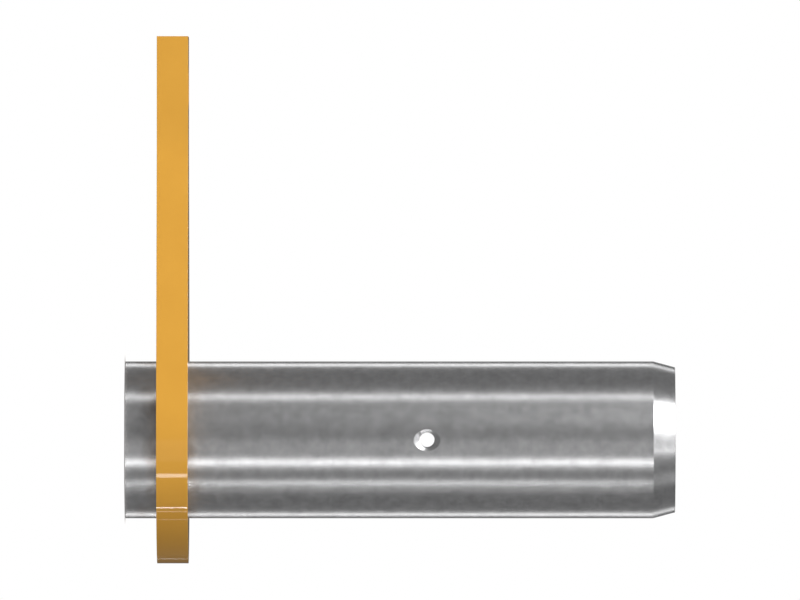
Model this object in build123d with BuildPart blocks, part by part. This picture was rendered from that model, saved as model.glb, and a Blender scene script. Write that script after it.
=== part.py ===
"""Link pin with a retaining flag, as used in the bucket linkage of a digger or loader.

Three pieces: the ground steel pin, the flag plate cut from thick plate, and the groove weld that joins them.
All sizes are in millimetres. The pin stands on its flag end, Z runs up the pin, and X points out along the flag.
"""

import os
from math import radians, tan

from build123d import *

# The pin's own size
pin_diameter = 80.0
pin_length = 280.5
stub_length = 16.4  # how far the pin shows past the flag
end_break = 0.3  # the sharp edge taken off the flag end

# Lead-in cone at the tip, which finds its way into the bushes
lead_in_angle = 15.0  # from the pin's axis
lead_in_drop = 3.0  # how much radius it takes off

# Grease way: a tapped port in the flag end, a long drilled gallery, and a hole right across the pin
port_tap_diameter = 8.8  # tapping drill for a G 1/8 grease nipple
port_depth = 14.0
port_mouth_diameter = 9.6
gallery_diameter = 6.0
gallery_overrun = 6.0  # how far the gallery is drilled past the cross hole's axis
cross_hole_diameter = 7.8
cross_hole_height = 154.0
cross_mouth_diameter = 13.4
cross_mouth_angle = 137.0  # the shallow cone that blends each mouth into the running surface
drill_point_angle = 118.0

# Centre hole in the tip, left from turning and grinding between centres
centre_pilot_diameter = 5.0
centre_pilot_depth = 12.0
centre_mouth_diameter = 10.6
centre_angle = 60.0

# Flag plate
flag_thickness = 16.0
flag_wall = 23.0  # plate left round the pin
tab_reach = 205.7  # from the pin's axis to the end of the tab
tab_width = 50.0
tab_length = 56.0  # the straight part, up to where the sides start to spread
tab_blend_radius = 50.0
flag_edge_break = 0.3
bolt_hole_diameter = 22.0  # clears an M20 retaining bolt
bolt_hole_inset = 26.0  # from the end of the tab

# Groove weld between the flag and the pin, dressed flush on both sides
weld_bevel_angle = 30.0
weld_root_face = 2.0  # straight wall left at the bottom of the bevel
weld_root_gap = 1.0
weld_penetration = 1.0  # how deep the weld has melted into the pin

# Sizes that follow from those above
pin_radius = pin_diameter / 2
tip_radius = pin_radius - lead_in_drop
lead_in_height = pin_length - lead_in_drop / tan(radians(lead_in_angle))
flag_top = stub_length + flag_thickness
flag_end_radius = pin_radius + flag_wall
tab_root = tab_reach - tab_length
weld_floor_radius = pin_radius - weld_penetration
weld_root_radius = pin_radius + weld_root_gap
weld_bevel_depth = flag_thickness - weld_root_face
weld_mouth_radius = weld_root_radius + weld_bevel_depth * tan(radians(weld_bevel_angle))


def drill_point(diameter):
    """Height of the cone that a drill of this diameter leaves."""
    return diameter / 2 / tan(radians(drill_point_angle / 2))


# The pin is turned in one piece. Under the flag its surface is a shallow band, melted away by the weld.
with BuildPart() as pin:
    with BuildSketch(Plane.XZ):
        with BuildLine():
            Polyline(
                (0, 0),
                (pin_radius - end_break, 0),
                (pin_radius, end_break),
                (pin_radius, stub_length),
                (weld_floor_radius, stub_length),
                (weld_floor_radius, flag_top),
                (pin_radius, flag_top),
                (pin_radius, lead_in_height),
                (tip_radius, pin_length),
                (0, pin_length),
                close=True,
            )
        make_face()
    revolve(axis=Axis.Z)

    # Port and gallery, drilled up from the flag end to just past the cross hole
    gallery_depth = cross_hole_height + gallery_overrun
    port_radius = port_tap_diameter / 2
    port_mouth_radius = port_mouth_diameter / 2
    gallery_radius = gallery_diameter / 2
    port_floor = port_depth + drill_point(port_tap_diameter) - drill_point(gallery_diameter)
    with BuildSketch(Plane.XZ):
        with BuildLine():
            Polyline(
                (0, 0),
                (port_mouth_radius, 0),
                (port_radius, port_mouth_radius - port_radius),
                (port_radius, port_depth),
                (gallery_radius, port_floor),
                (gallery_radius, gallery_depth),
                (0, gallery_depth + drill_point(gallery_diameter)),
                close=True,
            )
        make_face()
    revolve(axis=Axis.Z, mode=Mode.SUBTRACT)

    # Centre hole, drilled down from the tip
    centre_pilot_radius = centre_pilot_diameter / 2
    centre_mouth_radius = centre_mouth_diameter / 2
    centre_cone_depth = (centre_mouth_radius - centre_pilot_radius) / tan(radians(centre_angle / 2))
    with BuildSketch(Plane.XZ):
        with BuildLine():
            Polyline(
                (0, pin_length),
                (centre_mouth_radius, pin_length),
                (centre_pilot_radius, pin_length - centre_cone_depth),
                (centre_pilot_radius, pin_length - centre_pilot_depth),
                (0, pin_length - centre_pilot_depth - drill_point(centre_pilot_diameter)),
                close=True,
            )
        make_face()
    revolve(axis=Axis.Z, mode=Mode.SUBTRACT)

    # Cross hole, drilled through to the gallery from each side with a shallow cone at its mouth
    for side in (1, -1):
        crest = Plane((0, side * pin_radius, cross_hole_height), x_dir=(1, 0, 0), z_dir=(0, side, 0))
        with Locations(crest):
            CounterSinkHole(
                cross_hole_diameter / 2,
                cross_mouth_diameter / 2,
                depth=pin_radius,
                counter_sink_angle=cross_mouth_angle,
            )

# The flag is cut from thick plate. Its sides run off the round end as tangents and blend into a straight tab.
with BuildPart() as flag_plate:
    with BuildSketch(Plane.XY.offset(stub_length)) as flag_outline:
        with BuildLine():
            round_end = CenterArc((0, 0), flag_end_radius, 0, 360, mode=Mode.PRIVATE)
            taper = ConstrainedLines(
                round_end,
                (tab_root, tab_width / 2),
                selector=lambda lines: lines.sort_by(Axis.Y)[-1],
            )
            tangent_point = taper.vertices().sort_by(Axis.X)[0]
            Polyline((tab_root, tab_width / 2), (tab_reach, tab_width / 2), (tab_reach, 0))
            RadiusArc((-flag_end_radius, 0), tangent_point, flag_end_radius)
            mirror(about=Plane.XZ)
        make_face()
        shoulders = flag_outline.vertices().filter_by(lambda v: abs(v.X - tab_root) < 0.001)
        fillet(shoulders, radius=tab_blend_radius)
    extrude(amount=flag_thickness)
    with Locations(Plane((tab_reach - bolt_hole_inset, 0, stub_length), z_dir=(0, 0, -1))):
        Hole(bolt_hole_diameter / 2, depth=flag_thickness)
    chamfer(flag_plate.faces().filter_by(Axis.Z).edges(), length=flag_edge_break)
    with Locations(Plane((0, 0, stub_length), z_dir=(0, 0, -1))):
        CounterSinkHole(
            weld_root_radius,
            weld_mouth_radius,
            depth=flag_thickness,
            counter_sink_angle=2 * weld_bevel_angle,
        )

# The weld fills the bevelled groove from the flag's outer face to its inner one.
with BuildPart() as flag_weld:
    with BuildSketch(Plane.XZ):
        with BuildLine():
            Polyline(
                (weld_floor_radius, stub_length),
                (weld_mouth_radius, stub_length),
                (weld_root_radius, stub_length + weld_bevel_depth),
                (weld_root_radius, flag_top),
                (weld_floor_radius, flag_top),
                close=True,
            )
        make_face()
    revolve(axis=Axis.Z)

pin.part.label = "pin"
flag_plate.part.label = "flag_plate"
flag_weld.part.label = "flag_weld"

os.makedirs("parts", exist_ok=True)
export_step(pin.part, "parts/pin.step")
export_step(flag_plate.part, "parts/flag_plate.step")
export_step(flag_weld.part, "parts/flag_weld.step")
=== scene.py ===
from math import asin, atan2, ceil, cos, pi, radians, sin, tan

import bmesh
import bpy
from mathutils import Matrix, Vector, geometry


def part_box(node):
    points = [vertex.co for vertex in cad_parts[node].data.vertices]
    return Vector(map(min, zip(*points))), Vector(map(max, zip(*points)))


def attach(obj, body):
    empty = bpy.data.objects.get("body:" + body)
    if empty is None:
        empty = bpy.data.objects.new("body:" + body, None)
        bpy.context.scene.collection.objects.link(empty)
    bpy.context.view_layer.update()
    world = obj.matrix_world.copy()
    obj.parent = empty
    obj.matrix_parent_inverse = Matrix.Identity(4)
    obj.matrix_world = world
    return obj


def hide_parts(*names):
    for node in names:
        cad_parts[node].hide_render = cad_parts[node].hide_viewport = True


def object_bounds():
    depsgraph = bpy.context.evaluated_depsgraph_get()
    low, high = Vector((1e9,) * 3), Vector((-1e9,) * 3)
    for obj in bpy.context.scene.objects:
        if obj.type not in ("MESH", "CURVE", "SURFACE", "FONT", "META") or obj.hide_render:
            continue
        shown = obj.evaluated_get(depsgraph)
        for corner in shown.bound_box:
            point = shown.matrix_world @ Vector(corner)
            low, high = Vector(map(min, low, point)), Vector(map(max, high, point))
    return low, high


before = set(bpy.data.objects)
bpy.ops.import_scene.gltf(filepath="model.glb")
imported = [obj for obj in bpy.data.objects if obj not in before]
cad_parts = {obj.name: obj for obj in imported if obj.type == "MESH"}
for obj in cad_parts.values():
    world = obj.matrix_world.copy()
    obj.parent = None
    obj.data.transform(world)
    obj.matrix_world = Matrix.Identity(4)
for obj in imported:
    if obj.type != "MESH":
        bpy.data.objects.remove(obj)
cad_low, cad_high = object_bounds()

# ---------------------------------------------------------------------------
# The pin. One bar of medium carbon steel, turned between centres and then cylindrically ground to fit its
# bushes. It carries the tapped grease port in its flag end, the gallery, the cross hole, and the centre hole
# in its tip.
# ---------------------------------------------------------------------------

mm = 0.001
pin_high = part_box("pin")[1]
plate_low, plate_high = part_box("flag_plate")
pin_radius = pin_high.y
pin_length = pin_high.z
flag_bottom = plate_low.z
flag_top = plate_high.z
lead_in_drop = 3 * mm
lead_in_angle = radians(15)
lead_in_height = pin_length - lead_in_drop / tan(lead_in_angle)
lead_in_round = 0.15 * mm
tip_round = 0.3 * mm
flag_end_break = 0.3 * mm
flag_end_round = 0.1 * mm
weld_penetration = 1 * mm
melted_radius = pin_radius - weld_penetration
port_radius = 4.4 * mm
port_mouth_radius = 4.8 * mm
port_depth = 14 * mm
thread_pitch = 0.907 * mm
thread_length = 12 * mm
thread_depth = 0.42 * mm
gallery_radius = 3 * mm
gallery_depth = 160 * mm
cross_hole_radius = 3.9 * mm
cross_hole_height = 154 * mm
cross_mouth_radius = 6.8 * mm
cross_mouth_slope_outside = radians(14)
cross_mouth_slope_inside = radians(21.5)
drill_half_angle = radians(59)
centre_pilot_radius = 2.5 * mm
centre_pilot_depth = 12 * mm
centre_mouth_radius = 5.3 * mm
centre_half_angle = radians(30)
round_steps = 8
pin_segments = 192
cutter_segments = 96
smooth_up_to = radians(12)


def rounded(corners):
    """The profile through (radius, height, round) corners, with each round drawn as an arc."""
    points = []
    for i, (r, z, size) in enumerate(corners):
        here = Vector((r, z))
        if not size:
            points.append(here)
            continue
        back = (Vector(corners[i - 1][:2]) - here).normalized()
        on = (Vector(corners[(i + 1) % len(corners)][:2]) - here).normalized()
        half = back.angle(on) / 2
        centre = here + (back + on).normalized() * (size / sin(half))
        first = here + back * (size / tan(half)) - centre
        last = here + on * (size / tan(half)) - centre
        turn = first.angle_signed(last)
        for k in range(round_steps + 1):
            points.append(centre + Matrix.Rotation(-turn * k / round_steps, 2) @ first)
    return points


def turned(name, profile, segments, is_ring=False, thread=None):
    """A piece turned about Z from (radius, height) points. A ring's profile closes on itself."""
    bm = bmesh.new()
    rings = []
    for r, z in profile:
        if r == 0:
            rings.append([bm.verts.new((0, 0, z))])
            continue
        turns = [2 * pi * k / segments for k in range(segments)]
        radii = [r + (thread(r, z, turn) if thread else 0) for turn in turns]
        points = [(out * cos(turn), out * sin(turn), z) for out, turn in zip(radii, turns)]
        rings.append([bm.verts.new(point) for point in points])
    pairs = list(zip(rings, rings[1:]))
    if is_ring:
        pairs.append((rings[-1], rings[0]))
    for lower, upper in pairs:
        for k in range(segments):
            j = (k + 1) % segments
            if len(lower) == 1:
                bm.faces.new((lower[0], upper[j], upper[k]))
            elif len(upper) == 1:
                bm.faces.new((lower[k], lower[j], upper[0]))
            else:
                bm.faces.new((lower[k], lower[j], upper[j], upper[k]))
    bmesh.ops.recalc_face_normals(bm, faces=bm.faces)
    return placed(name, bm)


def placed(name, bm):
    """An object made from the mesh that was built."""
    mesh = bpy.data.meshes.new(name)
    bm.to_mesh(mesh)
    bm.free()
    piece = bpy.data.objects.new(name, mesh)
    bpy.context.scene.collection.objects.link(piece)
    return piece


def bored(piece, cutter):
    """Cuts the cutter's shape out of the piece, and takes the cutter away."""
    cut = piece.modifiers.new("bore", "BOOLEAN")
    cut.operation = "DIFFERENCE"
    cut.solver = "EXACT"
    cut.object = cutter
    graph = bpy.context.evaluated_depsgraph_get()
    mesh = bpy.data.meshes.new_from_object(piece.evaluated_get(graph))
    mesh.name = piece.name
    mesh.materials.clear()
    piece.modifiers.clear()
    piece.data = mesh
    bpy.data.objects.remove(cutter)


def crisp(piece):
    """Shades rounds smooth, and keeps flats flat and corners sharp."""
    piece.data.shade_smooth()
    piece.data.set_sharp_from_angle(angle=smooth_up_to)
    weigh = piece.modifiers.new("flats_stay_flat", "WEIGHTED_NORMAL")
    weigh.keep_sharp = True


def port_thread(r, z, turn):
    """How far the tapped thread cuts into the port's wall at a height and turn."""
    is_wall = abs(r - port_radius) < wall_tolerance and mouth_height < z < thread_length
    phase = (z / thread_pitch - turn / (2 * pi)) % 1
    fade = min(1, (thread_length - z) / thread_pitch)
    return thread_depth * fade * (1 - abs(2 * phase - 1)) if is_wall else 0


mouth_height = port_mouth_radius - port_radius
wall_tolerance = 0.01 * mm
rows_per_thread = 6
thread_rows = ceil(port_depth / thread_pitch) * rows_per_thread
port_wall = [
    (port_radius, port_depth + (mouth_height - port_depth) * k / thread_rows, 0)
    for k in range(1, thread_rows + 1)
]
port_floor = port_depth + (port_radius - gallery_radius) / tan(drill_half_angle)
centre_cone_depth = (centre_mouth_radius - centre_pilot_radius) / tan(centre_half_angle)
# two plain rings of points keep the facets that the cross hole cuts short, this far to each side of it
hole_margin = 12 * mm
pin_profile = rounded(
    [
        (0, gallery_depth + gallery_radius / tan(drill_half_angle), 0),
        (gallery_radius, gallery_depth, 0),
        (gallery_radius, port_floor, 0),
        (port_radius, port_depth, 0),
        *port_wall,
        (port_mouth_radius, 0, 0),
        (pin_radius - flag_end_break, 0, flag_end_round),
        (pin_radius, flag_end_break, flag_end_round),
        (pin_radius, flag_bottom, 0),
        (melted_radius, flag_bottom, 0),
        (melted_radius, flag_top, 0),
        (pin_radius, flag_top, 0),
        (pin_radius, cross_hole_height - hole_margin, 0),
        (pin_radius, cross_hole_height + hole_margin, 0),
        (pin_radius, lead_in_height, lead_in_round),
        (pin_radius - lead_in_drop, pin_length, tip_round),
        (centre_mouth_radius, pin_length, 0),
        (centre_pilot_radius, pin_length - centre_cone_depth, 0),
        (centre_pilot_radius, pin_length - centre_pilot_depth, 0),
        (0, pin_length - centre_pilot_depth - centre_pilot_radius / tan(drill_half_angle), 0),
    ]
)
ground_pin = turned("ground_pin", pin_profile, pin_segments, thread=port_thread)

# each mouth is polished out to a slightly rounded cone, flatter at its rim than at the hole
cutter_reach = 1 * mm
cutter_end = pin_radius + cutter_reach
mouth_sines = sin(cross_mouth_slope_inside) - sin(cross_mouth_slope_outside)
mouth_bend = (cross_mouth_radius - cross_hole_radius) / mouth_sines
mouth_wall = [(cross_mouth_radius + cutter_reach / tan(cross_mouth_slope_outside), cutter_end)]
for k in range(round_steps + 1):
    slope = cross_mouth_slope_outside
    slope += (cross_mouth_slope_inside - cross_mouth_slope_outside) * k / round_steps
    across = cross_mouth_radius - mouth_bend * (sin(slope) - sin(cross_mouth_slope_outside))
    depth = mouth_bend * (cos(cross_mouth_slope_outside) - cos(slope))
    mouth_wall.append((across, pin_radius - depth))
far_wall = [(r, -z) for r, z in mouth_wall]
drill_profile = [(0, -cutter_end), *far_wall, *reversed(mouth_wall), (0, cutter_end)]
cross_drill = turned("cross_drill", drill_profile, cutter_segments)
laid_along_y = Matrix.Rotation(pi / 2, 4, "X")
cross_drill.data.transform(Matrix.Translation((0, 0, cross_hole_height)) @ laid_along_y)
bored(ground_pin, cross_drill)
crisp(ground_pin)


def linear(colour):
    """An sRGB hex colour as linear RGBA."""
    channels = [int(colour[i : i + 2], 16) / 255 for i in (1, 3, 5)]
    return [c / 12.92 if c <= 0.04045 else ((c + 0.055) / 1.055) ** 2.4 for c in channels] + [1.0]


def put(tree, kind, settings=None, **inputs):
    """Adds a node. Settings go on the node itself, and inputs are values, or sockets to link from. An input
    goes by its socket's name, or by i and the socket's number where the node has several of one name."""
    node = tree.nodes.new(kind)
    for name, value in (settings or {}).items():
        setattr(node, name, value)
    for name, value in inputs.items():
        is_number = name[1:].isdigit()
        socket = node.inputs[int(name[1:])] if is_number else node.inputs[name.replace("_", " ")]
        if isinstance(value, bpy.types.NodeSocket):
            tree.links.new(value, socket)
        else:
            socket.default_value = value
    return node


steel_grey = "#c6c6c7"
# brown of the weld's temper colours, and of a painted reflection of the flag in the steel beside it
temper_and_flag_reflection_brown = "#75614f"
grease_brown = "#6f6a62"


def ground_steel():
    """Medium carbon steel, cylindrically ground and wiped with oil. A soft satin metal: it spreads the light
    over some 13 degrees, with faint clouds left by the oil and by handling, and fine grinding lines round the
    bar. Brown patches beside the flag are partly temper colours from the weld's heat and partly a painted
    reflection of the flag."""
    steel = bpy.data.materials.new("ground_steel")
    steel.use_nodes = True
    tree = steel.node_tree
    tree.nodes.clear()
    place = put(tree, "ShaderNodeTexCoord").outputs["Object"]
    apart = put(tree, "ShaderNodeSeparateXYZ", i0=place)

    # oil clouds some 6 mm across, broken up down to a millimetre, lighten and darken the steel by 15 percent
    cloud_size = 6 * mm
    cloud_tone = 0.15
    clouds = put(tree, "ShaderNodeTexNoise", Vector=place, Scale=1 / cloud_size, Detail=3,
                 Roughness=0.62).outputs[0]
    clouded = put(tree, "ShaderNodeMapRange", Value=clouds, From_Min=0.2, From_Max=0.8,
                  To_Min=1 - cloud_tone, To_Max=1 + cloud_tone).outputs[0]
    # the real lines stand 0.05 mm apart; they are drawn 0.7 mm apart so that they show at all
    line_pitch = 0.7 * mm
    line_tone = 0.015
    line_depth = 0.001 * mm
    round_bar = put(tree, "ShaderNodeMapping", Vector=place, Scale=(0.02, 0.02, 1)).outputs[0]
    lines = put(tree, "ShaderNodeTexNoise", Vector=round_bar, Scale=1 / line_pitch, Detail=1).outputs[0]
    lined = put(tree, "ShaderNodeMapRange", Value=lines, From_Min=0.3, From_Max=0.7,
                To_Min=1 - line_tone, To_Max=1 + line_tone).outputs[0]
    marks = put(tree, "ShaderNodeMath", {"operation": "MULTIPLY"}, i0=clouded, i1=lined).outputs[0]
    tone = put(tree, "ShaderNodeVectorMath", {"operation": "SCALE"},
               i0=linear(steel_grey)[:3], Scale=marks).outputs[0]

    # brown patches, partly temper colours and partly a painted reflection of the flag, fade out 14 mm above
    # the flag and beyond the pin's end below it
    temper_and_reflection_reach_above = 14 * mm
    temper_and_reflection_reach_below = 20 * mm
    temper_and_reflection_patch = 22 * mm
    temper_and_reflection_strength = 0.45
    height = apart.outputs["Z"]
    below = put(tree, "ShaderNodeMapRange", {"interpolation_type": "SMOOTHSTEP"}, Value=height,
                From_Min=flag_bottom - temper_and_reflection_reach_below, From_Max=flag_bottom).outputs[0]
    above = put(tree, "ShaderNodeMapRange", {"interpolation_type": "SMOOTHSTEP"}, Value=height,
                From_Min=flag_top, From_Max=flag_top + temper_and_reflection_reach_above, To_Min=1, To_Max=0).outputs[0]
    near_weld = put(tree, "ShaderNodeMath", {"operation": "MULTIPLY"}, i0=below, i1=above).outputs[0]
    patches = put(tree, "ShaderNodeTexNoise", Vector=place, Scale=1 / temper_and_reflection_patch, Detail=2).outputs[0]
    patchy = put(tree, "ShaderNodeMapRange", Value=patches, From_Min=0.5, From_Max=0.64,
                 To_Min=0, To_Max=temper_and_reflection_strength).outputs[0]
    heat_and_reflection = put(tree, "ShaderNodeMath", {"operation": "MULTIPLY"}, i0=near_weld, i1=patchy).outputs[0]
    tempered_and_reflected = put(tree, "ShaderNodeMix", {"data_type": "RGBA"},
                   i0=heat_and_reflection, i6=tone, i7=linear(temper_and_flag_reflection_brown)).outputs[2]

    # the holes up the pin's middle are as drilled and hold old grease
    grease_radius = 4.9 * mm
    grease_fade = 0.5 * mm
    across = put(tree, "ShaderNodeCombineXYZ", i0=apart.outputs["X"], i1=apart.outputs["Y"]).outputs[0]
    radius = put(tree, "ShaderNodeVectorMath", {"operation": "LENGTH"}, i0=across).outputs["Value"]
    greasy = put(tree, "ShaderNodeMapRange", Value=radius, From_Min=grease_radius,
                 From_Max=grease_radius + grease_fade, To_Min=1, To_Max=0).outputs[0]
    colour = put(tree, "ShaderNodeMix", {"data_type": "RGBA"},
                 i0=greasy, i6=tempered_and_reflected, i7=linear(grease_brown)).outputs[2]

    # the oil takes a little off the shine where it lies thickest
    satin = 0.26
    satin_in_clouds = 0.27
    roughness = put(tree, "ShaderNodeMapRange", Value=clouds, From_Min=0.2, From_Max=0.8,
                    To_Min=satin, To_Max=satin_in_clouds).outputs[0]
    relief = put(tree, "ShaderNodeBump", Strength=0.5, Distance=line_depth, Height=lines).outputs[0]
    surface = put(tree, "ShaderNodeBsdfPrincipled", Base_Color=colour, Metallic=1.0,
                  Roughness=roughness, Normal=relief).outputs[0]
    put(tree, "ShaderNodeOutputMaterial", Surface=surface)
    return steel


ground_pin.data.materials.append(ground_steel())
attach(ground_pin, "root")
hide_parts("pin")

# ---------------------------------------------------------------------------
# The flag. One piece of 16 mm structural steel plate, flame cut to its outline, drilled for its retaining
# bolt and bevelled inside for the weld. It is blasted and painted after welding, with the pin masked.
# ---------------------------------------------------------------------------

flag_end_radius = -plate_low.x
tab_reach = plate_high.x
tab_half_width = 25 * mm
tab_length = 56 * mm
tab_root = tab_reach - tab_length
tab_blend_radius = 50 * mm
bolt_hole_radius = 11 * mm
bolt_hole_inset = 26 * mm
root_gap = 1 * mm
bevel_root_radius = pin_radius + root_gap
bevel_root_face = 2 * mm
bevel_slope = tan(radians(30))
bevel_depth = flag_top - flag_bottom - bevel_root_face
bevel_mouth_radius = bevel_root_radius + bevel_depth * bevel_slope
edge_round = 0.12 * mm
outline_step = 1.5 * mm
bore_segments = 144
bolt_hole_segments = 72


def arc(centre, radius, start, end):
    """Points along an arc, from the start angle to the end angle."""
    count = max(2, ceil(abs(end - start) * radius / outline_step))
    turns = [start + (end - start) * k / count for k in range(count + 1)]
    return [centre + radius * Vector((cos(turn), sin(turn))) for turn in turns]


def run(start, end):
    """Points along a straight line, without its two ends."""
    count = max(2, ceil((end - start).length / outline_step))
    return [start.lerp(end, k / count) for k in range(1, count)]


def flag_outline():
    """The flag's outline, anticlockwise: the round end, and sides that leave it as tangents and blend into
    the tab."""
    root = Vector((tab_root, tab_half_width))
    touch_angle = atan2(root.y, root.x) + pi / 2 - asin(flag_end_radius / root.length)
    touch = flag_end_radius * Vector((cos(touch_angle), sin(touch_angle)))
    slope = (root - touch).normalized()
    turn = slope.angle(Vector((1, 0)))
    blend = tab_blend_radius * tan(turn / 2)
    blend_centre = Vector((tab_root + blend, tab_half_width + tab_blend_radius))
    corner = Vector((tab_reach, tab_half_width))
    upper = [corner]
    upper += run(corner, Vector((tab_root + blend, tab_half_width)))
    upper += arc(blend_centre, tab_blend_radius, -pi / 2, -pi / 2 - turn)
    upper += run(root - slope * blend, touch)
    round_end = arc(Vector((0, 0)), flag_end_radius, touch_angle, 2 * pi - touch_angle)
    lower = [Vector((p.x, -p.y)) for p in reversed(upper)]
    return upper + round_end + lower + run(lower[-1], corner)


def circle(centre, radius, count):
    """A hole's outline, clockwise."""
    turns = [2 * pi * k / count for k in range(count)]
    return [centre + radius * Vector((cos(turn), -sin(turn))) for turn in turns]


def inset(loop, depth):
    """The loop moved into the plate by a depth."""
    moved = []
    for i, here in enumerate(loop):
        before = (here - loop[i - 1]).normalized()
        after = (loop[(i + 1) % len(loop)] - here).normalized()
        inward = (before + after).normalized().orthogonal()
        moved.append(here + inward * depth / inward.dot(after.orthogonal()))
    return moved


def cut_plate(name, outline, holes):
    """The plate between its two faces, with a small round on every edge."""
    bm = bmesh.new()
    swings = [pi / 2 * k / round_steps for k in range(round_steps + 1)]
    rows = [(edge_round * (1 - sin(s)), flag_bottom + edge_round * (1 - cos(s))) for s in swings]
    rows += [(edge_round * (1 - cos(s)), flag_top - edge_round * (1 - sin(s))) for s in swings]
    low_rims, high_rims = [], []
    for loop in [outline, *holes]:
        rings = [[bm.verts.new((p.x, p.y, z)) for p in inset(loop, depth)] for depth, z in rows]
        for lower, upper in zip(rings, rings[1:]):
            for k in range(len(loop)):
                j = (k + 1) % len(loop)
                bm.faces.new((lower[k], lower[j], upper[j], upper[k]))
        low_rims.append(rings[0])
        high_rims.append(rings[-1])
    for rims, is_top in ((low_rims, False), (high_rims, True)):
        verts = [v for rim in rims for v in rim]
        for triangle in geometry.tessellate_polygon([[v.co for v in rim] for rim in rims]):
            corners = [verts[i] for i in triangle]
            flat = geometry.normal([v.co for v in corners])
            bm.faces.new(corners if (flat.z > 0) == is_top else corners[::-1])
    return placed(name, bm)


bolt_hole = circle(Vector((tab_reach - bolt_hole_inset, 0)), bolt_hole_radius, bolt_hole_segments)
root_bore = circle(Vector((0, 0)), bevel_root_radius, bore_segments)
painted_flag = cut_plate("painted_flag", flag_outline(), [bolt_hole, root_bore])

overlap = 0.5 * mm
bevel_tip_radius = bevel_root_radius - overlap * bevel_slope
bevel_cutter = turned(
    "bevel_cutter",
    [
        (0, flag_bottom - overlap),
        (bevel_mouth_radius + overlap * bevel_slope, flag_bottom - overlap),
        (bevel_tip_radius, flag_bottom + bevel_depth + overlap),
        (bevel_tip_radius, flag_top + overlap),
        (0, flag_top + overlap),
    ],
    bore_segments,
)
bored(painted_flag, bevel_cutter)
crisp(painted_flag)

enamel_light = "#dfa43f"
enamel_dark = "#dca13d"


def yellow_enamel(name, is_over_weld=False):
    """Gloss enamel sprayed over blasted plate, some 80 micrometres thick. An even warm yellow under a hard
    gloss that mirrors the lamps as thin lines, which the spray's slight orange peel and the cut marks in the
    plate make a little ragged."""
    enamel = bpy.data.materials.new(name)
    enamel.use_nodes = True
    tree = enamel.node_tree
    tree.nodes.clear()
    place = put(tree, "ShaderNodeTexCoord").outputs["Object"]

    # the film is thicker and thinner in patches some 25 mm across
    film_patch = 25 * mm
    film = put(tree, "ShaderNodeTexNoise", Vector=place, Scale=1 / film_patch, Detail=3).outputs[0]
    thickness = put(tree, "ShaderNodeMapRange", Value=film, From_Min=0.35, From_Max=0.65).outputs[0]
    colour = put(tree, "ShaderNodeMix", {"data_type": "RGBA"},
                 i0=thickness, i6=linear(enamel_dark), i7=linear(enamel_light)).outputs[2]
    # orange peel, with bumps some 0.8 mm across
    peel_size = 0.8 * mm
    peel_depth = 0.0022 * mm
    peel = put(tree, "ShaderNodeTexNoise", Vector=place, Scale=1 / peel_size, Detail=1).outputs[0]
    # cut marks run through the thickness of the plate, about 1.2 mm apart
    mark_pitch = 1.2 * mm
    mark_depth = 0.003 * mm
    upright = put(tree, "ShaderNodeMapping", Vector=place, Scale=(1, 1, 0.1)).outputs[0]
    marks = put(tree, "ShaderNodeTexNoise", Vector=upright, Scale=1 / mark_pitch, Detail=2).outputs[0]
    relief = put(tree, "ShaderNodeBump", Strength=0.3, Distance=mark_depth, Height=marks).outputs[0]
    relief = put(tree, "ShaderNodeBump", Strength=1.0, Distance=peel_depth, Height=peel,
                 Normal=relief).outputs[0]
    if is_over_weld:
        # the grinder's marks still show under the paint
        grind_size = 2.5 * mm
        grind_depth = 0.06 * mm
        grinding = put(tree, "ShaderNodeTexNoise", Vector=place, Scale=1 / grind_size, Detail=4,
                       Distortion=1.5).outputs[0]
        relief = put(tree, "ShaderNodeBump", Strength=0.6, Distance=grind_depth, Height=grinding,
                     Normal=relief).outputs[0]
    # a thicker film flows out less evenly as it dries
    gloss_where_thin = 0.035
    gloss_where_thick = 0.055
    roughness = put(tree, "ShaderNodeMapRange", Value=film, From_Min=0.3, From_Max=0.7,
                    To_Min=gloss_where_thin, To_Max=gloss_where_thick).outputs[0]
    surface = put(tree, "ShaderNodeBsdfPrincipled", Base_Color=colour, Roughness=roughness, IOR=1.55,
                  Normal=relief).outputs[0]
    put(tree, "ShaderNodeOutputMaterial", Surface=surface)
    return enamel


painted_flag.data.materials.append(yellow_enamel("yellow_enamel"))
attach(painted_flag, "root")
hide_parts("flag_plate")

# ---------------------------------------------------------------------------
# The weld. A ring of mild steel laid in several runs from the flag's outer face, melted a millimetre into
# the pin, dressed flush with a grinder on both sides and painted over with the flag.
# ---------------------------------------------------------------------------

dressed_weld = turned(
    "dressed_weld",
    [
        (melted_radius, flag_bottom),
        (bevel_mouth_radius, flag_bottom),
        (bevel_root_radius, flag_bottom + bevel_depth),
        (bevel_root_radius, flag_top),
        (melted_radius, flag_top),
    ],
    bore_segments,
    is_ring=True,
)
crisp(dressed_weld)
dressed_weld.data.materials.append(yellow_enamel("yellow_enamel_over_weld", is_over_weld=True))
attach(dressed_weld, "root")
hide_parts("flag_weld")

# ---------------------------------------------------------------------------
# The room. White all round, like seamless paper lit to plain white. It shows behind the pin, and the tent
# keeps its light off the pin.
# ---------------------------------------------------------------------------

scene = bpy.context.scene
scene.view_settings.view_transform = "Standard"
world = bpy.data.worlds.new("white_room")
scene.world = world
world.use_nodes = True
world.node_tree.nodes["Background"].inputs["Color"].default_value = linear("#ffffff")
world.node_tree.nodes["Background"].inputs["Strength"].default_value = 1.0
world.cycles.sampling_method = "NONE"

# ---------------------------------------------------------------------------
# The table. A small round board that the pin stands on. Its rim glows to white, so that the board
# doesn't show against the white room. Round the pin the glow is weaker, a painted contact shadow over the
# real shadow that the board's grey keeps.
# ---------------------------------------------------------------------------

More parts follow.
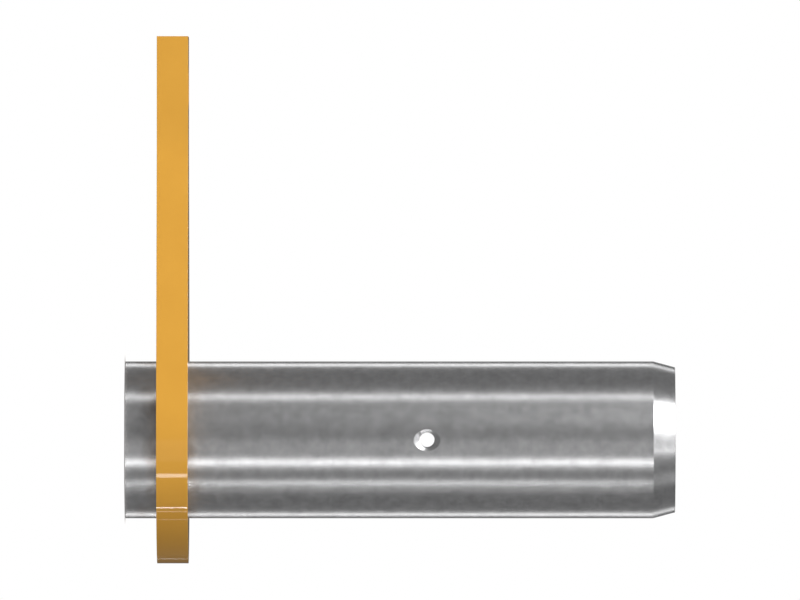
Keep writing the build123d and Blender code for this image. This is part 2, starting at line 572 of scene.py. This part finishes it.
table_radius = 46 * mm
table_segments = 128
table_drop = 0.02 * mm
table_tone = "#aaaaaa"
painted_shadow_glow_at_pin = 0.25
table_glow_at_rim = 0.98
glow_from = 41 * mm
glow_to = 44 * mm
bm = bmesh.new()
bmesh.ops.create_circle(bm, cap_ends=True, segments=table_segments, radius=table_radius)
pale_table = placed("pale_table", bm)
pale_table.location = (0, 0, -table_drop)

# matt emulsion on board: an even pale grey with no shine, which glows for the camera and in reflections; the
# glow is weaker round the pin as a painted shadow
table_board_with_painted_shadow = bpy.data.materials.new("matt_board_with_glow_and_painted_shadow")
table_board_with_painted_shadow.use_nodes = True
tree = table_board_with_painted_shadow.node_tree
tree.nodes.clear()
place = put(tree, "ShaderNodeTexCoord").outputs["Object"]
out = put(tree, "ShaderNodeVectorMath", {"operation": "LENGTH"}, i0=place).outputs["Value"]
# painted shadow: the glow stays low within 41 mm of the pin's axis and rises to near white by 44 mm
glow_with_painted_shadow = put(tree, "ShaderNodeMapRange", {"interpolation_type": "SMOOTHSTEP"}, Value=out,
          From_Min=glow_from, From_Max=glow_to, To_Min=painted_shadow_glow_at_pin, To_Max=table_glow_at_rim).outputs[0]
rays = put(tree, "ShaderNodeLightPath")
seen = put(tree, "ShaderNodeMath", {"operation": "ADD"},
           i0=rays.outputs["Is Camera Ray"], i1=rays.outputs["Is Glossy Ray"]).outputs[0]
seen = put(tree, "ShaderNodeMath", {"operation": "ADD"},
           i0=seen, i1=rays.outputs["Is Transmission Ray"]).outputs[0]
seen = put(tree, "ShaderNodeMath", {"operation": "MULTIPLY"}, i0=seen, i1=glow_with_painted_shadow).outputs[0]
board = put(tree, "ShaderNodeBsdfDiffuse", Color=linear(table_tone)).outputs[0]
bright = put(tree, "ShaderNodeEmission", Strength=seen).outputs[0]
both = put(tree, "ShaderNodeAddShader", i0=board, i1=bright).outputs[0]
put(tree, "ShaderNodeOutputMaterial", Surface=both)
pale_table.data.materials.append(table_board_with_painted_shadow)

# ---------------------------------------------------------------------------
# The tent. A round tent of grey cloth over the table, which the steel and the enamel mirror. It is plain in
# front, brighter low down at the sides, and darker overhead and right behind. The camera looks in through it.
# ---------------------------------------------------------------------------

aim = (cad_low + cad_high) / 2
tent_radius = 3.2
tent_segments = 48
tent_rings = 24
tent_glow = 0.212
tent_glow_above = 0.08
tent_glow_below = 0.33
tent_glow_front = 0.22
tent_share_behind = 0.5
band_bottom = -0.13 * tent_radius
band_top = 0.37 * tent_radius
band_fade = 0.3 * tent_radius
behind_from = -0.6 * tent_radius
behind_to = -0.87 * tent_radius
front_from = 0.45 * tent_radius
front_to = 0.75 * tent_radius
bm = bmesh.new()
bmesh.ops.create_uvsphere(bm, u_segments=tent_segments, v_segments=tent_rings, radius=tent_radius)
grey_tent = placed("grey_tent", bm)
grey_tent.location = aim
grey_tent.visible_camera = False

# cotton lit from outside: soft grey light with no edges
tent_cloth = bpy.data.materials.new("grey_cotton_cloth")
tent_cloth.use_nodes = True
tent_cloth.cycles.emission_sampling = "NONE"
tree = tent_cloth.node_tree
tree.nodes.clear()
place = put(tree, "ShaderNodeTexCoord").outputs["Object"]
apart = put(tree, "ShaderNodeSeparateXYZ", i0=place)
height = apart.outputs["Z"]
forward = apart.outputs["Y"]
above = put(tree, "ShaderNodeMapRange", {"interpolation_type": "SMOOTHSTEP"}, Value=height,
            From_Min=band_top, From_Max=band_top + band_fade,
            To_Min=tent_glow, To_Max=tent_glow_above).outputs[0]
below = put(tree, "ShaderNodeMapRange", {"interpolation_type": "SMOOTHSTEP"}, Value=height,
            From_Min=band_bottom - band_fade, From_Max=band_bottom,
            To_Min=tent_glow_below - tent_glow, To_Max=0).outputs[0]
sides = put(tree, "ShaderNodeMath", {"operation": "ADD"}, i0=above, i1=below).outputs[0]
behind = put(tree, "ShaderNodeMapRange", {"interpolation_type": "SMOOTHSTEP"}, Value=forward,
             From_Min=behind_to, From_Max=behind_from, To_Min=tent_share_behind, To_Max=1).outputs[0]
sides = put(tree, "ShaderNodeMath", {"operation": "MULTIPLY"}, i0=sides, i1=behind).outputs[0]
in_front = put(tree, "ShaderNodeMapRange", {"interpolation_type": "SMOOTHSTEP"}, Value=forward,
               From_Min=front_from, From_Max=front_to).outputs[0]
glow = put(tree, "ShaderNodeMix", i0=in_front, i2=sides, i3=tent_glow_front).outputs[0]
cloth = put(tree, "ShaderNodeEmission", Color=linear("#ffffff"), Strength=glow).outputs[0]
put(tree, "ShaderNodeOutputMaterial", Surface=cloth)
grey_tent.data.materials.append(tent_cloth)

# ---------------------------------------------------------------------------
# The lamps. Upright strip boxes all round the pin and soft boxes above it, all inside the tent. The narrow
# strips draw the bright lines along the steel and across the enamel, and the boxes light the flag.
# ---------------------------------------------------------------------------

lamp_distance = 2.6


def soft_lamp(name, glow, azimuth, elevation, width, height):
    """A flat soft lamp facing the pin. Angles are in degrees as seen from the pin: azimuth from +Y towards
    -X, elevation above level, and the lamp's own width and height. A glow of 1 is white."""
    a, e = radians(azimuth), radians(elevation)
    out = Vector((-sin(a) * cos(e), cos(a) * cos(e), sin(e)))
    data = bpy.data.lights.new(name, "AREA")
    data.shape = "RECTANGLE"
    data.size = 2 * lamp_distance * tan(radians(width) / 2)
    data.size_y = 2 * lamp_distance * tan(radians(height) / 2)
    data.energy = glow * pi * data.size * data.size_y
    lamp = bpy.data.objects.new(name, data)
    facing = out.to_track_quat("Z", "Y").to_matrix().to_4x4()
    lamp.matrix_world = Matrix.Translation(aim + out * lamp_distance) @ facing
    lamp.visible_camera = False
    scene.collection.objects.link(lamp)


soft_lamp("strip_right", 6.5, 34.2, 4, 3.5, 34)
soft_lamp("strip_far_right", 24.5, 66.1, -0.2, 0.65, 7.2)
soft_lamp("thin_strip_right", 7.0, 70.2, 0, 0.4, 24)
soft_lamp("thin_strip_far_right", 3.5, 79.2, 0, 0.5, 24)
soft_lamp("thin_strip_back_right", 4.0, 145.8, -3.1, 0.5, 1.2)
soft_lamp("strip_back_right_upper", 1.9, 141.3, 5.8, 11, 16.8)
soft_lamp("strip_back_right_lower", 3.0, 141.3, -6.8, 11, 6.4)
soft_lamp("strip_back_left", 2.35, -145.3, 2.6, 9, 23.2)
soft_lamp("strip_left", 2.5, -65.3, 0, 6, 26)
soft_lamp("big_softbox", 3.8, -37.5, 40.5, 36.5, 55)
soft_lamp("big_softbox_top", 2.85, -37.5, 45, 36.5, 46)
soft_lamp("front_panel", 0.26, 11, 6, 20, 36)
soft_lamp("upper_panel", 2.65, 18.8, 34, 5, 26)
soft_lamp("upper_front", 0.72, 0, 34, 22, 32)
soft_lamp("upper_right", 0.32, 66, 28, 18, 20)
soft_lamp("top_front", 0.54, 12, 66, 40, 24)
soft_lamp("back_softbox", 1.8, 180, 50, 40, 30)

# ---------------------------------------------------------------------------
# The camera. Level with the middle of the pin and square to it, far off with a long lens, and turned on its
# side so that the pin lies level in view and the tab points up.
# ---------------------------------------------------------------------------

camera_distance = 12.4
seen_width = 408.14 * mm
sensor_width = 36
farthest_seen = 30
lens = bpy.data.cameras.new("long_lens")
lens.sensor_width = sensor_width
lens.lens = sensor_width * camera_distance / seen_width
lens.clip_end = farthest_seen
camera = bpy.data.objects.new("camera", lens)
camera.matrix_world = Matrix(
    (
        (0, 1, 0, aim.x),
        (0, 0, 1, camera_distance),
        (1, 0, 0, aim.z),
        (0, 0, 0, 1),
    )
)
scene.collection.objects.link(camera)
scene.camera = camera
